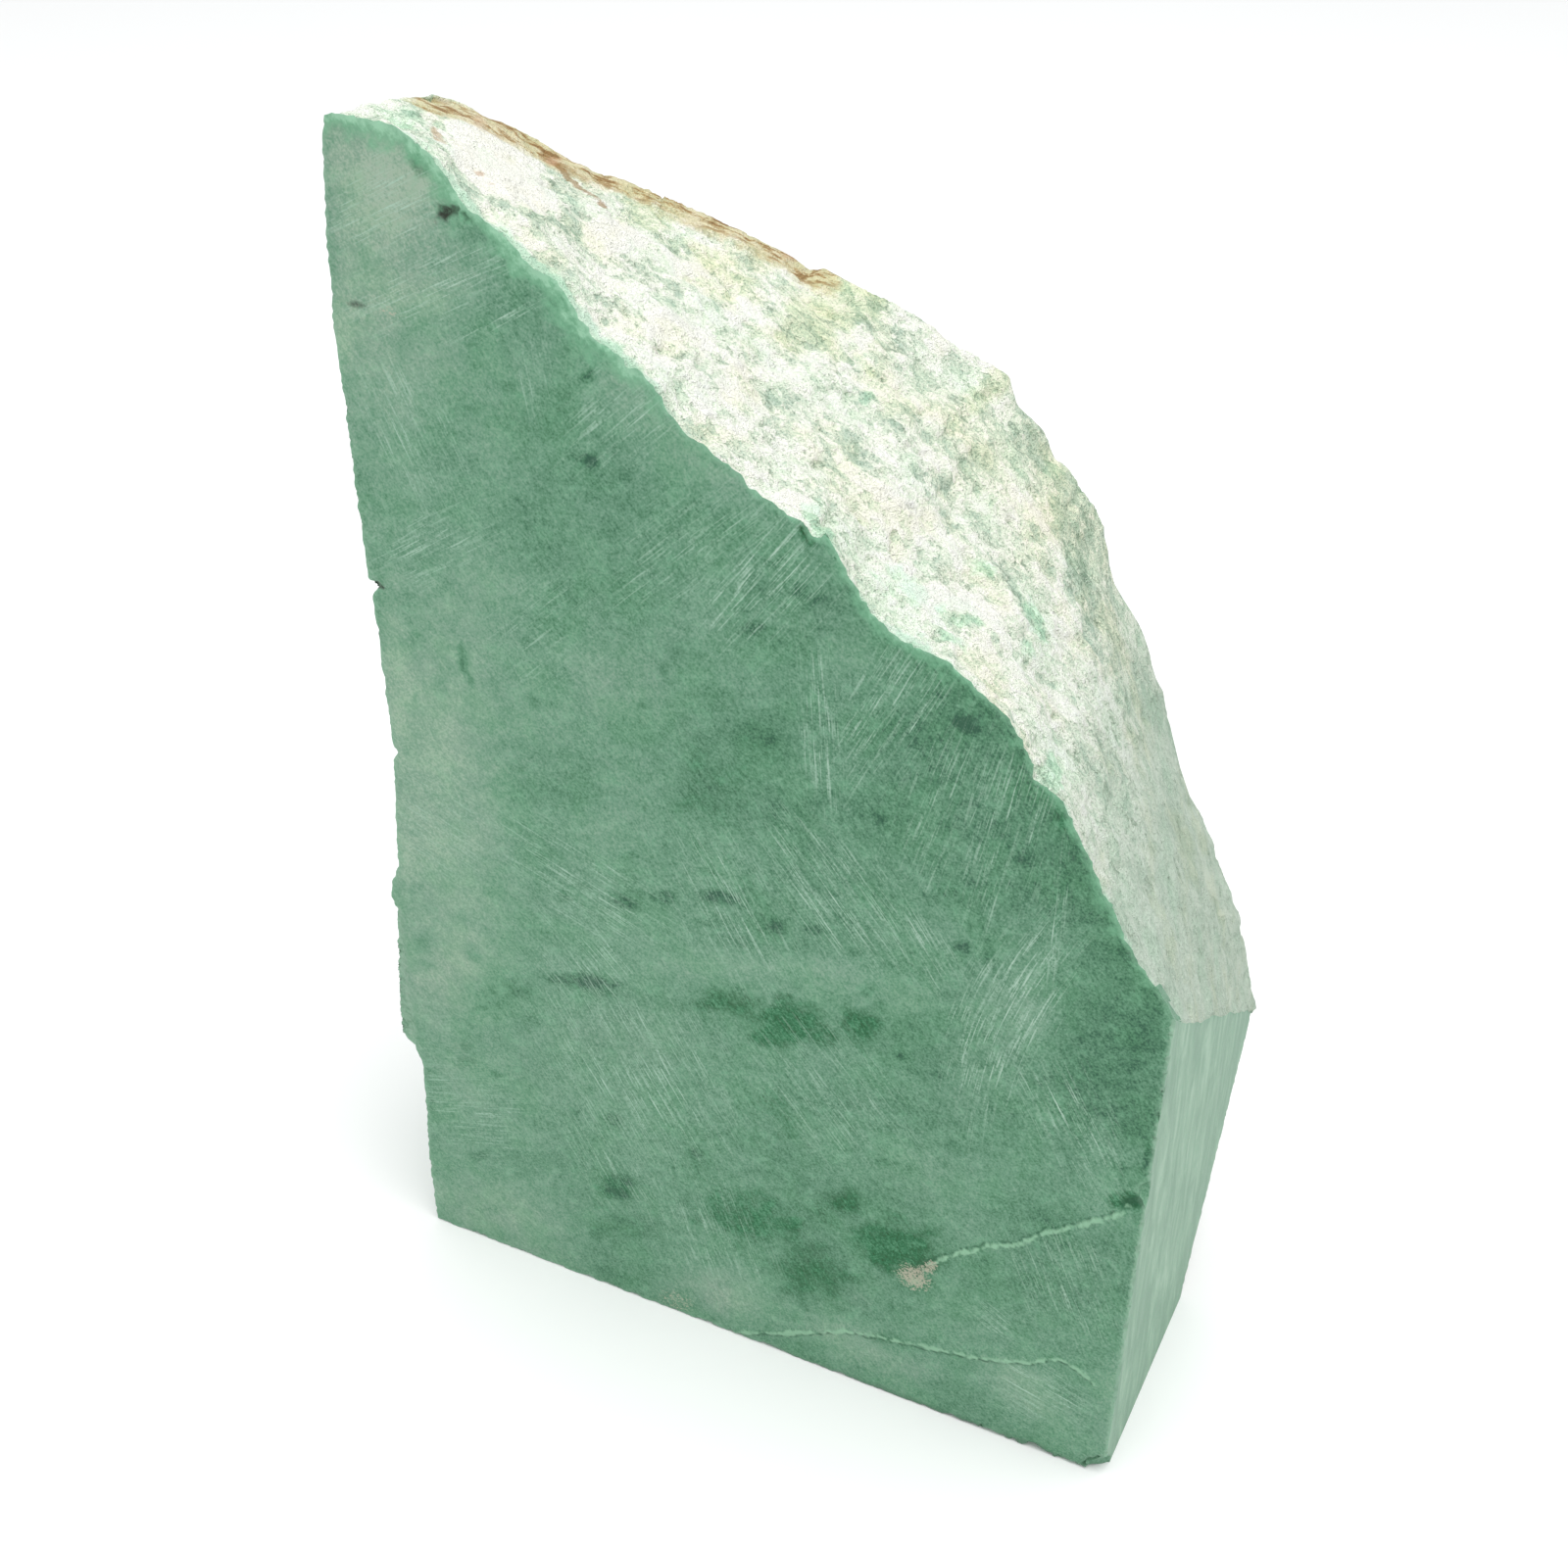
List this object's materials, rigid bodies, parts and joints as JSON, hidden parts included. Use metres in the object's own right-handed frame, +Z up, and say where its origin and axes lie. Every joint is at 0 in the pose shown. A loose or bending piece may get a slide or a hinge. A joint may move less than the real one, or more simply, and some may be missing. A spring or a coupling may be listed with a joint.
{
  "type": "raw jade boulder",
  "caption": "Saw-cut block of raw green jade with a flat sawn front, base and right side, a stepped left edge and a rough pale weathered roof and back.",
  "frame": {"origin": "on the flat sawn base, under the middle of the stone's bounding box", "axes": "+Z up from the sawn base, the large sawn front face looks along -Y, +X to the right of the front face"},
  "size_m": [0.0772, 0.0386, 0.1192],
  "materials": {
    "jade": "rough saw-cut jade, matt, with a whitish granular weathered rind"
  },
  "bodies": {
    "root": {"jade_boulder": "jade"}
  },
  "joints": []
}
